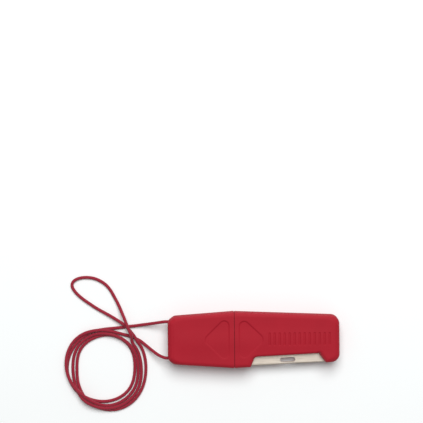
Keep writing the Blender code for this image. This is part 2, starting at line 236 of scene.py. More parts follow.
class Look:
    """A node material, built up by small calls."""

    def __init__(self, name, **values):
        self.material = bpy.data.materials.new(name)
        self.material.use_nodes = True
        self.nodes = self.material.node_tree.nodes
        self.links = self.material.node_tree.links
        self.shader = self.nodes["Principled BSDF"]
        for socket, value in values.items():
            self.shader.inputs[socket.replace("_", " ")].default_value = value

    def node(self, kind, **inputs):
        node = self.nodes.new("ShaderNode" + kind)
        for socket, value in inputs.items():
            self.feed(node.inputs[socket.replace("_", " ")], value)
        return node

    def feed(self, socket, value):
        if isinstance(value, bpy.types.NodeSocket):
            self.links.new(value, socket)
        else:
            socket.default_value = value

    def place(self, scale=(1.0, 1.0, 1.0)):
        coordinates = self.node("TexCoord").outputs["Object"]
        return self.node("Mapping", Vector=coordinates, Scale=scale).outputs["Vector"]

    def noise(self, scale, stretch=(1.0, 1.0, 1.0), detail=2.0, roughness=0.5):
        """Noise; its scale is in waves a metre, and a stretch below 1 draws it out along that axis."""
        return self.node("TexNoise", Vector=self.place(stretch), Scale=scale, Detail=detail,
                         Roughness=roughness).outputs["Fac"]

    def ramp(self, value, low=0.0, high=1.0, from_low=0.3, from_high=0.7):
        """A value mapped to the range from low to high, and held inside it."""
        return self.node("MapRange", Value=value, From_Min=from_low, From_Max=from_high, To_Min=low,
                         To_Max=high).outputs["Result"]

    def mix(self, factor, first, second):
        node = self.nodes.new("ShaderNodeMix")
        node.data_type = "RGBA"
        self.feed(node.inputs["Factor"], factor)
        self.feed(node.inputs[6], first)
        self.feed(node.inputs[7], second)
        return node.outputs[2]

    def math(self, operation, a, b=0.0):
        node = self.nodes.new("ShaderNodeMath")
        node.operation = operation
        self.feed(node.inputs[0], a)
        self.feed(node.inputs[1], b)
        return node.outputs[0]

    def attribute(self, name):
        node = self.nodes.new("ShaderNodeAttribute")
        node.attribute_name = name
        return node.outputs["Fac"]

    def bump(self, height, strength, distance, under=None):
        node = self.node("Bump", Height=height, Strength=strength, Distance=distance)
        if under is not None:
            self.feed(node.inputs["Normal"], under)
        return node.outputs["Normal"]

    def set(self, **values):
        for socket, value in values.items():
            self.feed(self.shader.inputs[socket.replace("_", " ")], value)
        return self.material


CASE_RED = (0.380, 0.0070, 0.0200, 1.0)
CASE_WORN = (0.50, 0.07, 0.09, 1.0)
COLLAR_RED = (0.29, 0.009, 0.018, 1.0)
COLLAR_WORN = (0.45, 0.06, 0.08, 1.0)
CLOUD_SHADE = 0.95  # tone of the plastic's cloudy patches
STEEL_PLAIN = (0.85, 0.755, 0.645, 1.0)
STEEL_DULL = (0.75, 0.66, 0.56, 1.0)
STEEL_BRIGHT = (0.90, 0.81, 0.70, 1.0)
ROD_DARK = (0.032, 0.031, 0.034, 1.0)
ROD_DRAWN = (0.095, 0.090, 0.088, 1.0)
# painted shade: the cord's red darkened for the shade in the grooves between the braid's strands
CORD_GROOVE_SHADE = (0.16, 0.0035, 0.013, 1.0)
CORD_CROWN = (0.36, 0.010, 0.034, 1.0)
CORD_FIBRE = (0.42, 0.022, 0.050, 1.0)


def plastic_look(name, colour, worn):
    """Soft-touch moulded plastic: fine spark grain, faint cloudy tone, lighter on handled edges."""
    look = Look(name)
    cloud = look.noise(scale=90.0, detail=3.0)
    darker = tuple(CLOUD_SHADE * c for c in colour[:3]) + (1.0,)
    shade = look.mix(look.ramp(cloud), colour, darker)
    speckle = look.ramp(look.noise(scale=1600.0), low=0.4)
    shade = look.mix(look.math("MULTIPLY", look.attribute("wear"), speckle), shade, worn)
    grain = look.noise(scale=5200.0)
    soft = look.noise(scale=1400.0, detail=1.0)
    normal = look.bump(grain, strength=0.22, distance=0.00006)
    normal = look.bump(soft, strength=0.08, distance=0.00010, under=normal)
    rough = look.ramp(grain, low=0.66, high=0.80)
    return look.set(Base_Color=shade, Roughness=rough, Normal=normal, Specular_IOR_Level=0.25)


def steel_look():
    """Stamped steel: fine lengthwise grain with brighter streaks, and faint dull patches."""
    look = Look("striker_steel", Metallic=1.0)
    grain = look.noise(scale=900.0, stretch=(0.12, 1.6, 1.6), detail=4.0, roughness=0.65)
    patches = look.noise(scale=160.0, stretch=(1.0, 0.7, 1.0))
    tone = look.mix(look.ramp(patches), STEEL_PLAIN, STEEL_DULL)
    tone = look.mix(look.ramp(grain, high=0.5), tone, STEEL_BRIGHT)
    rough = look.math("ADD", look.ramp(grain, low=0.24, high=0.40), look.ramp(patches, high=0.10))
    normal = look.bump(grain, strength=0.18, distance=0.00005)
    return look.set(Base_Color=tone, Roughness=rough, Normal=normal)


def rod_look():
    """Ferrocerium: dull dark metal, drawn lines along it and fine pits."""
    look = Look("ferrocerium", Metallic=0.75)
    drawn = look.noise(scale=700.0, stretch=(0.05, 1.5, 1.5), detail=4.0, roughness=0.6)
    pits = look.noise(scale=2600.0)
    tone = look.mix(look.ramp(drawn), ROD_DARK, ROD_DRAWN)
    normal = look.bump(drawn, strength=0.35, distance=0.00010)
    normal = look.bump(pits, strength=0.25, distance=0.00006, under=normal)
    return look.set(Base_Color=tone, Roughness=look.ramp(pits, low=0.42, high=0.66), Normal=normal)


def cord_look():
    """Braided cord: painted shade in the grooves between its strands, with fine lighter fibres."""
    look = Look("lanyard_cord", Sheen_Weight=0.25, Sheen_Roughness=0.45, Specular_IOR_Level=0.3)
    crown = look.ramp(look.attribute("crown"), from_low=0.0, from_high=1.0)
    fibre = look.noise(scale=6500.0)
    # painted shade: the strands' crown height darkens the cord's colour towards the grooves between them
    shade = look.mix(crown, CORD_GROOVE_SHADE, CORD_CROWN)
    shade = look.mix(look.ramp(fibre, high=0.35), shade, CORD_FIBRE)
    normal = look.bump(fibre, strength=0.35, distance=0.00006)
    return look.set(Base_Color=shade, Roughness=look.ramp(fibre, low=0.62, high=0.82), Normal=normal)


# ---- Cord ----

# The cord's free stretches as in part.py, each from the end nearer the case, in metres.
UPPER_LEAD = (
    (-0.0415, 0.0036, 0.0075), (-0.0420, 0.0068, 0.0075), (-0.0441, 0.0096, 0.0075),
    (-0.0472, 0.01065, 0.0075), (-0.0499, 0.01065, 0.0075), (-0.0522, 0.0106, 0.0072),
    (-0.0564, 0.0099, 0.0056), (-0.0612, 0.0091, 0.0036), (-0.0660, 0.0084, 0.0019),
    (-0.0702, 0.0078, 0.0011), (-0.0744, 0.0074, 0.00095), (-0.0779, 0.0069, 0.00095),
    (-0.0819, 0.0064, 0.00095),
)
LOWER_LEAD = (
    (-0.0415, -0.0036, 0.0075), (-0.0420, -0.0068, 0.0075), (-0.0441, -0.0096, 0.0075),
    (-0.0472, -0.01065, 0.0075), (-0.0499, -0.01065, 0.0075), (-0.0524, -0.0103, 0.0072),
    (-0.0557, -0.0090, 0.0058), (-0.0596, -0.0064, 0.0038), (-0.0627, -0.0041, 0.0022),
    (-0.0659, -0.0017, 0.0013), (-0.0685, -0.0002, 0.0010), (-0.0720, 0.0014, 0.0010),
    (-0.0766, 0.0029, 0.0010),
)
BIGHT = (
    (-0.0704, 0.0024, 0.0032), (-0.0728, 0.0054, 0.0031), (-0.0748, 0.0077, 0.0030),
    (-0.0775, 0.0098, 0.0027), (-0.0819, 0.0126, 0.0020), (-0.0867, 0.0153, 0.0013),
    (-0.0914, 0.0179, 0.00095), (-0.0961, 0.0210, 0.00095), (-0.1008, 0.0244, 0.00095),
    (-0.1043, 0.0277, 0.00095), (-0.1062, 0.0305, 0.00095), (-0.1066, 0.0326, 0.00095),
    (-0.1056, 0.0345, 0.00095), (-0.1033, 0.0359, 0.00095), (-0.1001, 0.0366, 0.00095),
    (-0.0965, 0.0366, 0.00095), (-0.0930, 0.0359, 0.00095), (-0.0895, 0.0343, 0.00095),
    (-0.0865, 0.0321, 0.00095), (-0.0839, 0.0290, 0.00095), (-0.0819, 0.0255, 0.0010),
    (-0.0797, 0.0214, 0.0015), (-0.0778, 0.0174, 0.0028), (-0.0760, 0.0134, 0.0044),
    (-0.0742, 0.0090, 0.0054), (-0.0728, 0.0056, 0.0054), (-0.0716, 0.0028, 0.0052),
)
# The coil's two stretches, in the cord's order: where round the coil each starts, in degrees, and
# the cord's distance from the coil's centre at each eighth of a turn, in millimetres.
UPPER_TURNS_FROM = 90
UPPER_TURNS = (
    23.5, 23.6, 23.1, 21.1, 19.0, 18.1, 17.1, 19.7, 20.6, 19.7, 17.3, 20.4, 23.8, 24.3, 23.5, 25.3,
)
LOWER_TURNS_FROM = 45
LOWER_TURNS = (
    22.3, 20.5, 22.9, 22.8, 20.7, 19.6, 21.7, 21.4, 20.2, 19.2, 20.6, 21.6, 20.2, 23.2, 25.0, 23.2,
)


EIGHTH = 45.0  # degrees in an eighth of a turn
POINTS_PER_EIGHTH = 3
ROUTE_STEP = 1.1


def coil_turns(start, radii, direction):
    """Points of a stretch of coil, from its radius at each eighth of a turn."""
    spokes = smooth_curve(np.array(radii)[:, None], per_span=POINTS_PER_EIGHTH)[:, 0]
    points = []
    for k, radius in enumerate(spokes):
        angle = math.radians(start + direction * EIGHTH / POINTS_PER_EIGHTH * k)
        x = COIL_CENTRE[0] + radius * math.cos(angle)
        y = COIL_CENTRE[1] + radius * math.sin(angle)
        points.append((x, y, CORD_DIAMETER / 2))
    return np.array(points)


def cord_route():
    """The cord's route from knot to knot; a fourth column marks the coil."""
    stretches = [
        (np.array(UPPER_LEAD) / MM, 0),
        (coil_turns(UPPER_TURNS_FROM, UPPER_TURNS, 1)[1:], 1),
        (np.array(BIGHT) / MM, 0),
        (coil_turns(LOWER_TURNS_FROM, LOWER_TURNS, -1), 1),
        (np.array(LOWER_LEAD)[::-1] / MM, 0),
    ]
    points = np.vstack([np.column_stack([p, np.full(len(p), c)]) for p, c in stretches])
    return resample(smooth_curve(points), ROUTE_STEP)


EVEN_OUT = 0.25  # how strongly one round evens out
LEVEL_ROUNDS = 80  # for the height of the coil's route
SOFTEN_ROUNDS = 6  # for the coil's measured turns
HELD_FROM_X = -52.5  # from here into the case the cord stays on its route
FREE_STRETCH = 20.0  # how far into the coil the leads and the bight hold its height
SPIRAL = (1.0, 9.0)  # lowest height and rise of the spiral that the coil is laid down from
SETTLE_STEPS = 1300
LOOSE_SHARE = 0.85  # of the steps; in the rest nothing pulls the cord or lets it fall
ROUTE_PULL = 0.05  # share of the way back to its route, in a step
LIFT_PULL = 0.02  # the same for the free stretches' height
FALL = 0.015  # how far the coil falls in a step
STIFFNESS = 0.9  # share of the bending that a step undoes
TAUTNESS = 0.06
CONTACT = 1.03  # distance, in diameters, at which two stretches touch
CONTACT_ROUNDS = 2
PUSH_APART = np.array((0.18, 0.18, 0.36))  # share of an overlap undone at a time
FIRST_NEIGHBOUR = 5  # points fewer than this apart along the cord don't touch
REACH = 7.0  # nor do those whose routes are farther apart than this


def even_out(values, weight):
    """Move each value towards its neighbours' middle, in place."""
    values[1:-1] += EVEN_OUT * weight[1:-1] * (values[:-2] + values[2:] - 2 * values[1:-1])


def starting_cord(target, coiled, held):
    """Where the cord starts, and how free each point's height is; evens out the route in place."""
    number = np.arange(len(target))
    spacing = np.linalg.norm(target[1] - target[0])
    from_free = np.abs(number[:, None] - number[~coiled][None]).min(axis=1) * spacing
    free = smoothstep(from_free / FREE_STRETCH)
    for repeat in range(LEVEL_ROUNDS):
        even_out(target[:, 2], coiled)
    for repeat in range(SOFTEN_ROUNDS):
        even_out(target, (free * (1 - held))[:, None])
    start = target.copy()
    spiral = SPIRAL[0] + SPIRAL[1] * number / len(target)
    start[:, 2] = (1 - free) * target[:, 2] + free * spiral
    return start, free


def straighten(p, target):
    """Undo part of the cord's bending away from its route."""
    off = p - target
    bend = np.zeros_like(p)
    bend[2:-2] = (4 * (off[1:-3] + off[3:-1]) - off[:-4] - off[4:] - 6 * off[2:-2]) / 16
    bend[1:-1] += TAUTNESS * (off[:-2] + off[2:] - 2 * off[1:-1])
    p += STIFFNESS * bend


def separate(p, first, second):
    """Push apart the pairs of points that touch, and keep the cord above the floor."""
    touching = CONTACT * CORD_DIAMETER
    gap = p[first] - p[second]
    far = np.linalg.norm(gap, axis=1)
    close = far < touching
    overlap = (touching - far[close]) / np.maximum(far[close], 1e-3)
    push = gap[close] * overlap[:, None] * PUSH_APART
    np.add.at(p, first[close], push)
    np.add.at(p, second[close], -push)
    p[:, 2] = np.maximum(p[:, 2], CORD_DIAMETER / 2)


def settle(route):
    """Let a laid-out cord come to rest near its route, on the floor and on itself.

    The coil starts as a rising spiral, so that each turn lands on those before it."""
    target, coiled = route[:, :3].copy(), route[:, 3] > 0.5
    held = target[:, 0] > HELD_FROM_X
    p, free = starting_cord(target, coiled, held)
    first, second = np.triu_indices(len(p), k=FIRST_NEIGHBOUR)
    near = np.linalg.norm((target[first] - target[second])[:, :2], axis=1) < REACH
    first, second = first[near], second[near]
    for step in range(SETTLE_STEPS):
        loose = 1.0 if step < LOOSE_SHARE * SETTLE_STEPS else 0.0
        pull = target - p
        p[:, :2] += ROUTE_PULL * loose * pull[:, :2]
        p[:, 2] += loose * ((1 - free) * LIFT_PULL * pull[:, 2] - free * FALL)
        straighten(p, target)
        for repeat in range(CONTACT_ROUNDS):
            separate(p, first, second)
        p[held] = target[held]
    return p


def steady_frame(line):
    """Two directions across a line at each point, that don't twist along it."""
    step = np.gradient(line, axis=0)
    along = step / np.linalg.norm(step, axis=1)[:, None]
    side = np.zeros_like(line)
    first = np.cross(along[0], (0.0, 0.0, 1.0))
    side[0] = first / np.linalg.norm(first)
    for k in range(1, len(line)):
        turned = side[k - 1] - along[k] * np.dot(side[k - 1], along[k])
        side[k] = turned / np.linalg.norm(turned)
    return side, np.cross(along, side)


def tube(name, line, surface, sides, material):
    """A closed tube along a line; surface(s, angle) gives its radius and crown."""
    side, up = steady_frame(line)
    s = run(line)
    angle = np.linspace(0, 2 * math.pi, sides, endpoint=False)
    s_grid, a_grid = np.meshgrid(s, angle, indexing="ij")
    radius, crown = surface(s_grid, a_grid)
    ring = side[:, None] * np.cos(a_grid)[..., None] + up[:, None] * np.sin(a_grid)[..., None]
    vertices = (line[:, None] + ring * radius[..., None]).reshape(-1, 3)
    n = len(line)
    i, j = np.meshgrid(np.arange(n - 1), np.arange(sides), indexing="ij")
    a = i * sides + j
    b = i * sides + (j + 1) % sides
    faces = np.stack([a, b, b + sides, a + sides], axis=-1).reshape(-1, 4).tolist()
    faces.append(list(range(sides))[::-1])
    faces.append([(n - 1) * sides + k for k in range(sides)])
    obj = mesh_object(name, vertices, faces, 60.0, material)
    add_attribute(obj, "crown", crown.reshape(-1))
    return obj


LINE_STEP = 1.6  # spacing on the settled cord, on its mesh and in its path
MESH_STEP = 0.21
CORD_SIDES = 28
BRAID_STRANDS = 8
BRAID_PITCH = 1.5
BRAID_DEPTH = 0.11
STRAND_ROUNDNESS = 0.7
STRAND_DIP = 0.65  # how much a strand sinks under the next
KNOT_THINNER = 0.17  # the cord is pulled thin in the knot


def braid(s, angle):
    """Radius and crown height of a braided cord: two sets of strands, over one and under one."""
    around = angle / (2 * math.pi) * BRAID_STRANDS
    a = around + s / BRAID_PITCH
    b = around - s / BRAID_PITCH
    ridge_a = np.abs(np.sin(math.pi * a))
    ridge_b = np.abs(np.sin(math.pi * b))
    a_is_over = (np.floor(a) + np.floor(b)) % 2 == 0
    over_a = ridge_a ** STRAND_ROUNDNESS * (1 - STRAND_DIP + STRAND_DIP * ridge_b)
    over_b = ridge_b ** STRAND_ROUNDNESS * (1 - STRAND_DIP + STRAND_DIP * ridge_a)
    crown = np.where(a_is_over, over_a, over_b)
    return CORD_DIAMETER / 2 - BRAID_DEPTH * (1 - crown), crown


def knot_braid(s, angle):
    radius, crown = braid(s, angle)
    return radius - KNOT_THINNER, crown


def make_cord(material, knot):
    line = settle(cord_route())
    fine = resample(smooth_curve(resample(line, LINE_STEP)), MESH_STEP)
    cord = tube("lanyard", fine, braid, CORD_SIDES, material)
    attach(cord, "handle")
    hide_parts("lanyard_lead_upper", "lanyard_lead_lower", "lanyard_coil", "lanyard_bight")


# ---- Case shells ----

END_ROUNDING = (1.2, 42.0, 5.0)  # more at the case's ends: how much, from what X, over what length
PARTING_GAP = 0.03  # between each half and the parting plane
PARTING_CHAMFER = 0.2
SEAM_GAP = 0.07  # between each case part and the seam
SEAM_ROUNDING = 0.35
WINDOW_ROUNDING = 1.5
FACE_HEIGHT = 7.1  # of the broad face above the parting plane, beside the hump
HUMP = (0.4, -0.5, 9.0)  # height, centre line and half width of a gentle swell along the face
HUMP_ENDS = (2.0, 6.0)  # how far from the case's ends it begins, and over what length
WALL_TAPER = 0.4  # how far each long side draws in up the wall, at the widest place
FACE_GRID = 0.4  # spacing of the mesh on the face
EDGE_STEP = 0.34  # the same along the outline, and where a cord hole cuts it
HOLE_STEP = 0.09
HOLE_SPAN = (9.0, 12.4)  # where that is in Y
ROW_BEYOND = 0.3  # how far past a rounded edge its last row lies
PAST_SEAM = 3.0  # how far the rim's lines go on past the seam
DETAIL_STEP = 0.3
WALL_RUN = 0.02  # half the run of a wall inside the case
WALL_SPACING = 0.5  # spacing along the inner walls, bores and cord holes
BORE_SPACING = 0.8
HOLE_SPACING = 0.3
BORE_ANGLES = range(0, 181, 12)
POCKET_ROOM = 0.25  # room round the blade in its pocket, and above it
POCKET_HEADROOM = 0.12

HANDLE_TRIANGLE = ((-30.1, 0.5, 3.4), (-13.9, -15.25, 3.2), (-13.9, 16.25, 3.2))
SHEATH_TRIANGLE = ((7.5, 0.5, 3.8), (-8.8, 15.85, 3.3), (-8.8, -14.85, 3.3))
TRIANGLE_DEPTH = (0.2, 0.5)  # of the pockets, at their -Y and +Y ends
TRIANGLE_SPAN = 16.0  # length over which their floor slopes
TRIANGLE_WALL = 0.8  # run of their sides
TRIANGLE_ROWS = (0.0, 0.2, 0.4, 0.6, 0.8)

RIB_COUNT = 13  # plain grip slots in place of the lettering
RIB_FIRST_X = 9.2
RIB_PITCH = 2.9
RIB_SIZE = (1.3, 7.6)  # width and length
RIB_ROUNDING = 0.6
RIB_CENTRE_Y = 0.65
RIB_DEPTH = 0.34
RIB_WALL = 0.4
RIB_ROWS = (0.0, 0.13, 0.27, 0.4)

END_LINE = (-46.9, 0.5, 0.12)  # shallow line across the handle: x, half width, depth
END_LINE_REACH = 11.0

SEAM_WEAR = (0.4, 0.22)  # amount and width of the paler edges
RIM_WEAR = (0.2, 0.5)
WINDOW_WEAR = (0.15, 0.25)


def rim_radius(x):
    """Rounding of the case's rim, which is fuller at the two ends."""
    more, start, length = END_ROUNDING
    return RIM_ROUNDING + more * smoothstep((np.abs(x) - start) / length)


def rounding_drop(distance, radius):
    """How far a rounded edge has dropped at a distance in from the edge."""
    short = np.clip(radius - distance, 0.0, radius)
    return radius - np.sqrt(radius ** 2 - short ** 2)


def distance_to(points, line):
    """Shortest distance from each point to an open line."""
    start, edge = line[:-1], np.diff(line, axis=0)
    length = (edge ** 2).sum(axis=1)
    found = []
    for block in np.array_split(points, max(1, len(points) // 3000)):
        gap = block[:, None] - start[None]
        t = np.clip((gap * edge).sum(axis=2) / length, 0.0, 1.0)
        found.append(np.sqrt(((gap - t[..., None] * edge) ** 2).sum(axis=2).min(axis=1)))
    return np.concatenate(found)


def depth_inside(points, ring):
    """How far each point is inside a convex ring given anticlockwise; negative outside it."""
    edge = np.roll(ring, -1, axis=0) - ring
    real = np.hypot(*edge.T) > 1e-6
    ring, edge = ring[real], edge[real]
    edge = edge / np.hypot(*edge.T)[:, None]
    depth = np.full(len(points), np.inf)
    for corner, way in zip(ring, edge):
        gap = points - corner
        depth = np.minimum(depth, way[0] * gap[:, 1] - way[1] * gap[:, 0])
    return depth


def inside_ring(points, ring):
    inside = np.zeros(len(points), bool)
    for (ax, ay), (bx, by) in zip(ring, np.roll(ring, -1, axis=0)):
        if ay == by:
            continue
        crosses = (points[:, 1] > min(ay, by)) & (points[:, 1] <= max(ay, by))
        inside ^= crosses & (points[:, 0] < ax + (points[:, 1] - ay) * (bx - ax) / (by - ay))
    return inside


def outward(ring):
    """Mitred directions at a ring's points: out of an anticlockwise ring, into a clockwise one."""
    edge = np.roll(ring, -1, axis=0) - ring
    edge = edge / np.hypot(*edge.T)[:, None]
    before = np.roll(edge, 1, axis=0)
    mitre = np.stack([edge[:, 1] + before[:, 1], -edge[:, 0] - before[:, 0]], axis=1)
    return 2 * mitre / (mitre ** 2).sum(axis=1)[:, None]


def spaced(ring, step_at):
    """A closed ring's points again, about step_at(point) apart along its straight edges."""
    points = []
    for here, following in zip(ring, np.roll(ring, -1, axis=0)):
        length = math.dist(here, following)
        if length < 1e-6:
            continue
        count = max(1, round(length / step_at((here + following) / 2)))
        points += [here + (following - here) * k / count for k in range(count)]
    return np.array(points)


def triangulate(rings, points):
    """Triangles inside the first ring, through the other rings and the points."""
    every = np.vstack([*rings, points])
    edges, base = [], 0
    for ring in rings:
        edges += [(base + k, base + k2) for k, k2 in round_of(len(ring))]
        base += len(ring)
    result = delaunay_2d_cdt([Vector(p) for p in every], edges, [], 1, 1e-5, True)
    vertices = np.array([tuple(v) for v in result[0]])
    place = np.full(len(rings[0]), -1)
    for new, old in enumerate(result[3]):
        for k in old:
            if k < len(place):
                place[k] = new
    faces = np.array(result[2])
    faces = faces[inside_ring(vertices[faces].mean(axis=1), rings[0])]
    a, b, c = (vertices[faces[:, k]] for k in range(3))
    turn = (b - a)[:, 0] * (c - a)[:, 1] - (b - a)[:, 1] * (c - a)[:, 0]
    faces, turn = faces[np.abs(turn) > 1e-6], turn[np.abs(turn) > 1e-6]
    faces[turn < 0] = faces[turn < 0][:, ::-1]
    return vertices, faces[single_on_edges(faces, np.abs(turn), place)], place


def single_on_edges(faces, areas, place):
    """Which triangles to keep: of two that share an edge of the outline, the larger."""
    users = {}
    for index, face in enumerate(faces.tolist()):
        for a, b in zip(face, face[1:] + face[:1]):
            users.setdefault((min(a, b), max(a, b)), []).append(index)
    keep = np.ones(len(faces), bool)
    for a, b in zip(place.tolist(), np.roll(place, -1).tolist()):
        sharing = users.get((min(a, b), max(a, b)), [])
        keep[sorted(sharing, key=lambda index: areas[index])[:-1]] = False
    return keep


def grid_inside(ring, step, margin):
    low, high = ring.min(axis=0), ring.max(axis=0)
    x, y = np.meshgrid(np.arange(low[0], high[0], step), np.arange(low[1], high[1], step))
    x[1::2] += step / 2
    points = np.stack([x.ravel(), y.ravel()], axis=1)
    points = points[inside_ring(points, ring)]
    return points[distance_to(points, np.vstack([ring, ring[:1]])) > margin]


def drop_near(points, others, reach):
    """The points that have none of the others in the same small square."""
    taken = {tuple(cell) for cell in np.floor(others / reach).astype(int)}
    cells = np.floor(points / reach).astype(int)
    return np.array([p for p, cell in zip(points, cells) if tuple(cell) not in taken])


def apart(points, reach):
    """The points, with only the first kept in each small square."""
    cells = np.floor(points / reach).astype(int)
    kept = np.unique(cells, axis=0, return_index=True)[1]
    return points[np.sort(kept)]


def handle_outline():
    seam = SEAM_X - SEAM_GAP
    upper = [(seam, CASE_PEAK[1] - 0.03, SEAM_ROUNDING), (*CASE_PEAK, 0.0), *LEFT_CORNERS]
    lower = [(x, -y, radius) for x, y, radius in reversed(upper)]
    return rounded_path(upper + lower)


def sheath_outline():
    seam = SEAM_X + SEAM_GAP
    y = CASE_PEAK[1] - 0.04
    corners = [(seam, y, SEAM_ROUNDING), (seam, -y, SEAM_ROUNDING), *WINDOW_CORNERS, *RIGHT_CORNERS]
    return rounded_path(corners)


def face_features(points, triangle, ribs):
    """Depth of the moulded pocket and grip slots at each point of the broad face."""
    shallow, deep = TRIANGLE_DEPTH
    full = shallow + (deep - shallow) * smoothstep(points[:, 1] / TRIANGLE_SPAN + 0.5)
    depth = full * smoothstep(depth_inside(points, triangle) / TRIANGLE_WALL)
    for x in ribs:
        near = np.abs(points[:, 0] - x) < RIB_SIZE[0]
        if near.any():
            inside = depth_inside(points[near], rib_ring(x))
            depth[near] += RIB_DEPTH * smoothstep(inside / RIB_WALL)
    return depth


def rib_ring(x):
    width, length = RIB_SIZE
    return rounded_path(rectangle(width / 2, length / 2, RIB_ROUNDING, x, RIB_CENTRE_Y), step=20.0)


def inset_rings(ring, insets, step):
    """Copies of a convex ring, each moved in."""
    ring = spaced(ring, lambda p: step)
    away = outward(ring)
    return [ring - away * inset for inset in insets]


def sort_parts(ring, is_sheath):
    """Which points of a case outline are on its rim, on the seam and on the window."""
    seam = np.abs(ring[:, 0] - SEAM_X) < SEAM_GAP + 0.01
    window = np.zeros(len(ring), bool)
    if is_sheath:
        path = rounded_path(WINDOW_CORNERS, closed=False)
        window = distance_to(ring, path[1:-1]) < 0.02
    return ~seam & ~window, seam, window


def wear_along(distance, wear):
    """How worn each place is, from its distance to the middle of a worn strip."""
    amount, width = wear
    return amount * np.exp(-(distance / width) ** 2)


def outer_height(points, is_sheath, rims, window, triangle, ribs):
    """Height of the outer face above the parting plane, and how worn each place is."""
    x, y = points.T
    from_rim = np.min([distance_to(points, rim) for rim in rims], axis=0)
    from_seam = np.abs(x - SEAM_X) - SEAM_GAP
    height = FACE_HEIGHT - rounding_drop(from_rim, rim_radius(x)) - rounding_drop(from_seam, SEAM_ROUNDING)
    wear = wear_along(from_seam, SEAM_WEAR) + wear_along(from_rim - RIM_WEAR[1], RIM_WEAR)
    if is_sheath:
        from_window = distance_to(points, window)
        height -= rounding_drop(from_window, WINDOW_ROUNDING)
        wear += wear_along(from_window, WINDOW_WEAR)
    hump, centre, half_width = HUMP
    margin, length = HUMP_ENDS
    ends = smoothstep((CASE_END - np.abs(x) - margin) / length)
    across = np.clip(np.abs(y - centre) / half_width, 0.0, 1.0)
    height += hump * ends * np.cos(math.pi / 2 * across) ** 2
    line_x, half_line, line_depth = END_LINE
    line = smoothstep(1.0 - np.abs(x - line_x) / half_line)
    height -= line_depth * line * smoothstep(END_LINE_REACH - np.abs(y))
    return height - face_features(points, triangle, ribs), np.clip(wear, 0.0, 1.0)


def inside_box(points, box):
    """A box's half height at the points inside it, and 0 outside."""
    left, right, half_width, height = box
    along = (points[:, 0] > left) & (points[:, 0] < right)
    return np.where(along & (np.abs(points[:, 1]) < half_width), height, 0.0)


def inside_bore(points, bore, centre=0.0):
    """Height of a bore along X above its axis at the points inside it, and 0 outside."""
    left, right, radius = bore
    y = np.abs(points[:, 1] - centre)
    along = (points[:, 0] > left) & (points[:, 0] < right) & (y < radius)
    return np.where(along, np.sqrt(np.maximum(radius ** 2 - y ** 2, 0.0)), 0.0)


def handle_hollow(points):
    """Height of the handle's hollow above the parting plane."""
    parts = [inside_box(points, box) for box in (COLLAR_SEAT, HANDLE_MOUTH, KNOT_CHAMBER)]
    parts.append(inside_bore(points, ROD_SEAT))
    parts += [inside_bore(points, CORD_HOLE, centre) for centre in (CORD_HOLE_Y, -CORD_HOLE_Y)]
    return np.max(parts, axis=0)


def blade_pocket():
    ring = rounded_path(BLADE_CORNERS)
    return ring + outward(ring) * POCKET_ROOM


def sheath_hollow(points):
    """Height of the sheath's hollow above the parting plane."""
    height = BLADE_THICKNESS / 2 + POCKET_HEADROOM
    pocket = np.where(inside_ring(points, blade_pocket()), height, 0.0)
    for x, y in BLADE_POSTS:
        pocket[np.hypot(points[:, 0] - x, points[:, 1] - y) < POST_RADIUS] = 0.0
    return np.max([inside_box(points, SHEATH_MOUTH), inside_bore(points, SHEATH_BORE), pocket], axis=0)


def wall_pair(ring, spacing):
    """Points along an inner wall: a ring a little outside it and one a little inside."""
    ring = spaced(ring, lambda p: spacing)
    away = outward(ring)
    return [ring + away * WALL_RUN, ring - away * WALL_RUN]


def box_points(box):
    left, right, half, _ = box
    return wall_pair(np.array([(left, -half), (right, -half), (right, half), (left, half)]), WALL_SPACING)


def bore_points(bore, spacing, centre=0.0):
    """Points that draw a bore along X, and its two ends."""
    left, right, radius = bore
    x = np.arange(left - WALL_RUN, right + spacing, spacing)
    levels = [centre + radius * math.cos(math.radians(angle)) for angle in BORE_ANGLES]
    levels += [centre + radius + WALL_RUN, centre - radius - WALL_RUN]
    rows = [np.stack([x, np.full(len(x), y)], axis=1) for y in levels]
    y = centre + radius * np.cos(np.radians(BORE_ANGLES))
    for x in (left - WALL_RUN, left + WALL_RUN, right - WALL_RUN, right + WALL_RUN):
        rows.append(np.stack([np.full(len(y), x), y], axis=1))
    return rows


def hollow_points(is_sheath):
    """Points that draw the walls of a case part's hollows."""
    rows = []
    if is_sheath:
        rows += box_points(SHEATH_MOUTH) + bore_points(SHEATH_BORE, BORE_SPACING)
        rows += wall_pair(blade_pocket(), WALL_SPACING)
        for x, y in BLADE_POSTS:
            rows += wall_pair(circle(x, y, POST_RADIUS, 20), WALL_SPACING)
        return np.vstack(rows)
    for box in (COLLAR_SEAT, HANDLE_MOUTH, KNOT_CHAMBER):
        rows += box_points(box)
    rows += bore_points(ROD_SEAT, BORE_SPACING)
    for centre in (CORD_HOLE_Y, -CORD_HOLE_Y):
        rows += bore_points(CORD_HOLE, HOLE_SPACING, centre)
    return np.vstack(rows)


def add_seam_steps(ring, half):
    """An outline with points either side of where the mouth's walls meet the seam."""
    points = []
    for here, following in zip(ring, np.roll(ring, -1, axis=0)):
        points.append(here)
        on_seam = abs(here[0] - following[0]) < 1e-6 and abs(here[0] - SEAM_X) < 0.5
        if on_seam:
            steps = [y for level in (half, -half) for y in (level - WALL_RUN, level + WALL_RUN)
                     if min(here[1], following[1]) < y < max(here[1], following[1])]
            steps.sort(reverse=bool(here[1] > following[1]))
            points += [np.array((here[0], y)) for y in steps]
    return np.array(points)


def outline_step(point):
    """Spacing of the outline's points, which is finer where a cord hole cuts it."""
    at_hole = point[0] < 2 - CASE_END and HOLE_SPAN[0] < abs(point[1]) < HOLE_SPAN[1]
    return HOLE_STEP if at_hole else EDGE_STEP


def tapered(ring):
    """A case outline at the top of the side wall, its long sides drawn in by the taper."""
    return ring * (1.0, 1 - WALL_TAPER / CASE_PEAK[1])


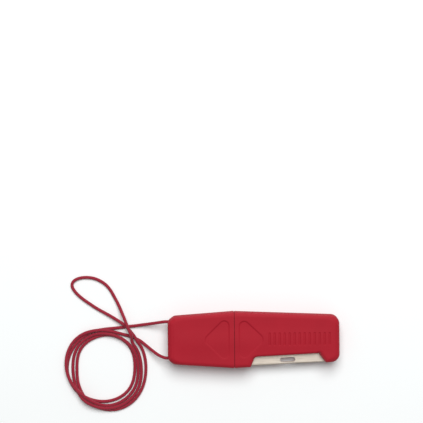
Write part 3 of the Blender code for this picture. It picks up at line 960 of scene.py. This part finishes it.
def shape_of(is_sheath):
    """Outline, hollow, mouth, triangle and grip slots of a case part."""
    if is_sheath:
        ribs = [RIB_FIRST_X + RIB_PITCH * k for k in range(RIB_COUNT)]
        return sheath_outline(), sheath_hollow, SHEATH_MOUTH, SHEATH_TRIANGLE, ribs
    return handle_outline(), handle_hollow, HANDLE_MOUTH, HANDLE_TRIANGLE, []


def edge_lines(top, on_seam, on_window, is_sheath):
    """Lines along the rim, carried on past the seam, and along the window."""
    turn = -int(np.argmax(on_seam & ~np.roll(on_seam, -1))) - 1
    turned, on_seam, on_window = (np.roll(values, turn, axis=0) for values in (top, on_seam, on_window))
    wall = turned[~on_seam]
    beyond = SEAM_X - PAST_SEAM if is_sheath else SEAM_X + PAST_SEAM
    start = (beyond, wall[0][1])
    end = (beyond, wall[-1][1])
    if not is_sheath:
        return [np.vstack([start, wall, end])], None
    at = np.flatnonzero(on_window[~on_seam])
    return [np.vstack([start, wall[:at[0] + 1]]), np.vstack([wall[at[-1]:], end])], turned[on_window]


def edge_points(top, parts):
    """Rows of points along the outline, close together where its rounded edges curve most."""
    rim = RIM_ROUNDING * (1 - np.cos(np.radians(np.arange(12, 90, 12))))
    small = 1 - np.cos(np.radians(np.arange(22.5, 91, 22.5)))
    insets = (
        [*rim, RIM_ROUNDING, RIM_ROUNDING + ROW_BEYOND],
        [*(small * SEAM_ROUNDING), 0.6],
        [*(small * WINDOW_ROUNDING), WINDOW_ROUNDING + ROW_BEYOND],
    )
    plain = np.ones(len(top))
    widths = (rim_radius(top[:, 0]) / RIM_ROUNDING, plain, plain)
    away = outward(top)
    closed = np.vstack([top, top[:1]])
    rows = []
    for part, part_insets, wider in zip(parts, insets, widths):
        if not part.any():
            continue
        for inset in part_insets:
            moved = top[part] - away[part] * (inset * wider[part])[:, None]
            rows.append(moved[distance_to(moved, closed) > 0.96 * inset * wider[part]])
    return apart(np.vstack(rows), 0.045)


def detail_points(triangle, ribs):
    """Points that draw the sloping walls of the pocket and of the grip slots."""
    rows = inset_rings(triangle, TRIANGLE_ROWS, DETAIL_STEP)
    for x in ribs:
        rows += inset_rings(rib_ring(x), RIB_ROWS, DETAIL_STEP)
    return np.vstack(rows)


def inner_points(ring, is_sheath):
    """Points of the inner surface: along the hollows' walls, and a coarse grid."""
    walls = hollow_points(is_sheath)
    walls = walls[inside_ring(walls, ring)]
    walls = apart(walls[distance_to(walls, np.vstack([ring, ring[:1]])) > 0.03], 0.02)
    coarse = drop_near(grid_inside(ring, 1.6, 0.6), walls, 0.4)
    return np.vstack([walls, coarse])


def shell_mesh(is_sheath):
    """Vertices, faces and wear of an upper half shell: outer face, side wall and inner surface."""
    outline, hollow, mouth, triangle, ribs = shape_of(is_sheath)
    triangle = turning(rounded_path(triangle), 1)
    ring = add_seam_steps(spaced(turning(outline, 1), outline_step), mouth[2])
    top = tapered(ring)
    parts = sort_parts(ring, is_sheath)
    rims, window = edge_lines(top, parts[1], parts[2], is_sheath)
    drawn = np.vstack([edge_points(top, parts), detail_points(triangle, ribs)])
    grid = drop_near(grid_inside(top, FACE_GRID, 0.5), drawn, 0.3)
    flat, outer_faces, outer_place = triangulate([top], np.vstack([drawn, grid]))
    height, wear = outer_height(flat, is_sheath, rims, window, triangle, ribs)

    inner_ring = ring - outward(ring) * PARTING_CHAMFER
    under, inner_faces, inner_place = triangulate([inner_ring], inner_points(inner_ring, is_sheath))
    roof = hollow(under) + PARTING_GAP

    belt = np.column_stack([ring, roof[inner_place] + PARTING_CHAMFER])
    vertices = np.vstack([np.column_stack([flat, height]), belt, np.column_stack([under, roof])])
    first = len(flat)
    faces = outer_faces.tolist() + (inner_faces[:, ::-1] + first + len(ring)).tolist()
    low = inner_place + first + len(ring)
    for k, k2 in round_of(len(ring)):
        faces.append([first + k, first + k2, outer_place[k2], outer_place[k]])
        faces.append([low[k], low[k2], first + k2, first + k])
    return vertices, faces, np.concatenate([wear, np.zeros(len(belt) + len(under))])


def turning(ring, direction):
    """The closed ring, run anticlockwise for a direction of 1 and clockwise for -1."""
    following = np.roll(ring, -1, axis=0)
    twice_area = (ring[:, 0] * following[:, 1] - ring[:, 1] * following[:, 0]).sum()
    return ring if twice_area * direction > 0 else ring[::-1].copy()


def make_shells(material):
    for part, is_sheath in (("handle", False), ("sheath", True)):
        vertices, faces, worn = shell_mesh(is_sheath)
        for half, up in (("top", 1), ("bottom", -1)):
            placed = vertices * (1, 1, up) + (0, 0, MID_Z)
            turned = faces if up > 0 else [face[::-1] for face in faces]
            shell = mesh_object(f"{part}_{half}_case", placed, turned, 35.0, material)
            add_attribute(shell, "wear", worn)
            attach(shell, part)
            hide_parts(f"{part}_{half}_shell")


# ---- Striker blade ----

BLADE_BEVEL = 0.09
GROUND_EDGE = (0.65, 0.35)  # width and depth of the bevel along the striking edge
POST_ROOM = 0.12


def slot_ring():
    x, y, length, width = BLADE_SLOT
    ring = rounded_path(rectangle(length / 2, width / 2, width * 0.49), step=15.0)
    along = np.array((math.cos(BLADE_SLOPE), math.sin(BLADE_SLOPE)))
    across = np.array((-along[1], along[0]))
    return np.array((x, y)) + ring[:, :1] * along + ring[:, 1:] * across


def blade_rings():
    """The blade's outline, run anticlockwise, and its slot and post holes, run clockwise."""
    holes = [slot_ring()] + [circle(x, y, POST_RADIUS + POST_ROOM, 12) for x, y in BLADE_POSTS]
    rings = [turning(spaced(rounded_path(BLADE_CORNERS), lambda p: 0.8), 1)]
    return rings + [turning(spaced(hole, lambda p: 0.35), -1) for hole in holes]


def blade_mesh():
    """Vertices and faces of the blade: two flat faces, and bevels and walls along each ring."""
    rings = blade_rings()
    bevels = [np.full((len(ring), 2), BLADE_BEVEL) for ring in rings]
    striking = np.array([BLADE_CORNERS[3][:2], BLADE_CORNERS[4][:2]])
    bevels[0][distance_to(rings[0], striking) < 0.01] = GROUND_EDGE
    face_rings = [ring - outward(ring) * bevel[:, :1] for ring, bevel in zip(rings, bevels)]
    flat, faces, _ = triangulate(face_rings, np.zeros((0, 2)))
    for hole in face_rings[1:]:
        faces = faces[~inside_ring(flat[faces].mean(axis=1), hole)]
    n = len(flat)
    half = BLADE_THICKNESS / 2
    vertices = [np.column_stack([flat, np.full(n, level)]) for level in (half, -half)]
    joined = faces.tolist() + (faces[:, ::-1] + n).tolist()
    upper = 2 * n
    for ring, bevel, face_ring in zip(rings, bevels, face_rings):
        place = np.linalg.norm(face_ring[:, None] - flat[None], axis=2).argmin(axis=1)
        lower = upper + len(ring)
        vertices += [np.column_stack([ring, half - bevel[:, 1]]), np.column_stack([ring, bevel[:, 1] - half])]
        for k, k2 in round_of(len(ring)):
            joined += [[place[k2], place[k], upper + k, upper + k2],
                       [upper + k2, upper + k, lower + k, lower + k2],
                       [lower + k2, lower + k, place[k] + n, place[k2] + n]]
        upper = lower + len(ring)
    return np.vstack(vertices), joined


def make_blade(material):
    vertices, faces = blade_mesh()
    blade = mesh_object("striker_plate", vertices + (0, 0, MID_Z), faces, 20.0, material)
    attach(blade, "sheath")
    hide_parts("striker_blade")


# ---- Rod, collar and knot ----

ROD_END = (  # the rod's ends: distance from the end, radius
    (0.0, 0.05), (0.0, 2.6), (0.06, 3.36), (0.6, ROD_RADIUS - 0.06), (0.75, ROD_RADIUS - 0.02),
)
ROD_FLAT = (0.05, 0.015)  # depth and share of the faint flats
COLLAR_ROOM = 0.15  # room round the rod in the collar
FLANGE_EDGE = (0.3, 0.9)  # bevel and corner radius of the flange
SPIGOT_CORNER = 1.6
SPIGOT_END = 0.6  # rounding of the spigot's end
DETENTS = (-11.0, -9.0)  # where two low ridges round the spigot begin
DETENT_SHAPE = ((0.0, 0.0), (0.25, 0.07), (0.45, 0.13), (0.65, 0.07), (0.9, 0.0))
KNOT_SIZE = 0.62
KNOT_DEPTH = 1.15


def lofted(name, rings, smooth_angle, material):
    """A closed solid through rings of equal count, the last joined to the first."""
    n = len(rings[0])
    faces = []
    for r, r2 in round_of(len(rings)):
        faces += [[r * n + k, r * n + k2, r2 * n + k2, r2 * n + k] for k, k2 in round_of(n)]
    return mesh_object(name, np.vstack(rings), faces, smooth_angle, material)


def make_rod(material):
    """The rod: a drawn bar with chamfered ends, faint flats and fine lines along it."""
    turn = np.linspace(0, 2 * math.pi, 120, endpoint=False)
    lines = 0.012 * np.sin(turn * 31) * np.sin(turn * 7 + 1.3) + 0.008 * np.sin(turn * 17 + 0.4)
    depth, share = ROD_FLAT
    flats = depth * np.clip(np.abs(np.sin(turn)) - (1 - share), 0, 1) / share
    profile = [(ROD_LEFT + inset, radius) for inset, radius in ROD_END]
    profile += [(x, ROD_END[-1][1]) for x in np.linspace(ROD_LEFT + 3, ROD_RIGHT - 3, 30)]
    profile += [(ROD_RIGHT - inset, radius) for inset, radius in reversed(ROD_END)]
    rings = []
    for x, radius in profile:
        shape = radius - (flats - lines if radius > 3.5 else 0.0)
        y, z = shape * np.cos(turn), MID_Z + shape * np.sin(turn)
        rings.append(np.stack([np.full(len(turn), x), y, z], axis=1))
    rod = lofted("ferrocerium_rod", rings, 30.0, material)
    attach(rod, "handle")
    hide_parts("ferro_rod")


def rounded_section(x, half_width, half_height, radius, count=128):
    """A ring of points on an upright rounded rectangle at x, evenly spaced round it."""
    ring = rounded_path(rectangle(half_width, half_height, radius))
    ring = np.roll(ring, -int(np.argmin(np.arctan2(ring[:, 1], ring[:, 0]) % (2 * math.pi))), axis=0)
    closed = np.vstack([ring, ring[:1]])
    along = np.concatenate([[0], np.cumsum(np.hypot(*np.diff(closed, axis=0).T))])
    at = np.linspace(0, along[-1], count, endpoint=False)
    y, z = (np.interp(at, along, closed[:, k]) for k in (0, 1))
    return np.stack([np.full(count, x), y, MID_Z + z], axis=1)


def make_collar(material):
    """Collar: a flange held in the handle, and a ridged spigot that plugs the sheath."""
    left, right, wide, high = FLANGE
    spigot_wide, spigot_high = SPIGOT
    bevel, corner = FLANGE_EDGE

    def bore(x, radius):
        return rounded_section(x, radius, radius, radius * 0.995)

    def spigot(x, grow, radius):
        return rounded_section(x, spigot_wide + grow, spigot_high + grow, radius)

    inner = ROD_RADIUS + COLLAR_ROOM
    rings = [bore(SPIGOT_RIGHT - 0.3, inner), bore(left, inner)]
    for x, inset in ((left, bevel), (left + bevel, 0.0), (right - bevel, 0.0), (right, bevel)):
        rings.append(rounded_section(x, wide - inset, high - inset, corner))
    rings += [spigot(right, 0.2, 1.8), spigot(right + 0.25, 0.0, SPIGOT_CORNER)]
    for start in DETENTS:
        rings += [spigot(start + x, bulge, SPIGOT_CORNER + bulge) for x, bulge in DETENT_SHAPE]
    for angle in (0, 22.5, 45, 67.5, 90):
        turn = math.radians(angle)
        inset = SPIGOT_END * (1 - math.cos(turn))
        x = SPIGOT_RIGHT - SPIGOT_END + SPIGOT_END * math.sin(turn)
        rings.append(spigot(x, -inset, SPIGOT_CORNER - inset / 2))
    rings.append(bore(SPIGOT_RIGHT, inner + 0.3))
    collar = lofted("collar", rings, 32.0, material)
    add_attribute(collar, "wear", np.zeros(len(collar.data.vertices)))
    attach(collar, "handle")
    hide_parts("rod_collar")


def make_knot(material):
    """The overhand knot that joins the cord's ends, pulled up small inside the handle."""
    turn = np.linspace(0, 2 * math.pi, 90, endpoint=False)
    x = KNOT_CENTRE[0] + KNOT_SIZE * (np.sin(turn) + 2 * np.sin(2 * turn))
    y = KNOT_CENTRE[1] + KNOT_SIZE * (np.cos(turn) - 2 * np.cos(2 * turn))
    loop = np.stack([x, y, MID_Z - KNOT_DEPTH * np.sin(3 * turn)], axis=1)
    knot = tube("lanyard_end_knot", np.vstack([loop, loop[:1]]), knot_braid, 16, material)
    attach(knot, "handle")
    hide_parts("lanyard_knot")
    return knot


# ---- Build ----

make_camera()
make_floor()
make_light()
cord = cord_look()
make_cord(cord, make_knot(cord))
make_shells(plastic_look("case_plastic", CASE_RED, CASE_WORN))
make_collar(plastic_look("collar_plastic", COLLAR_RED, COLLAR_WORN))
make_blade(steel_look())
make_rod(rod_look())
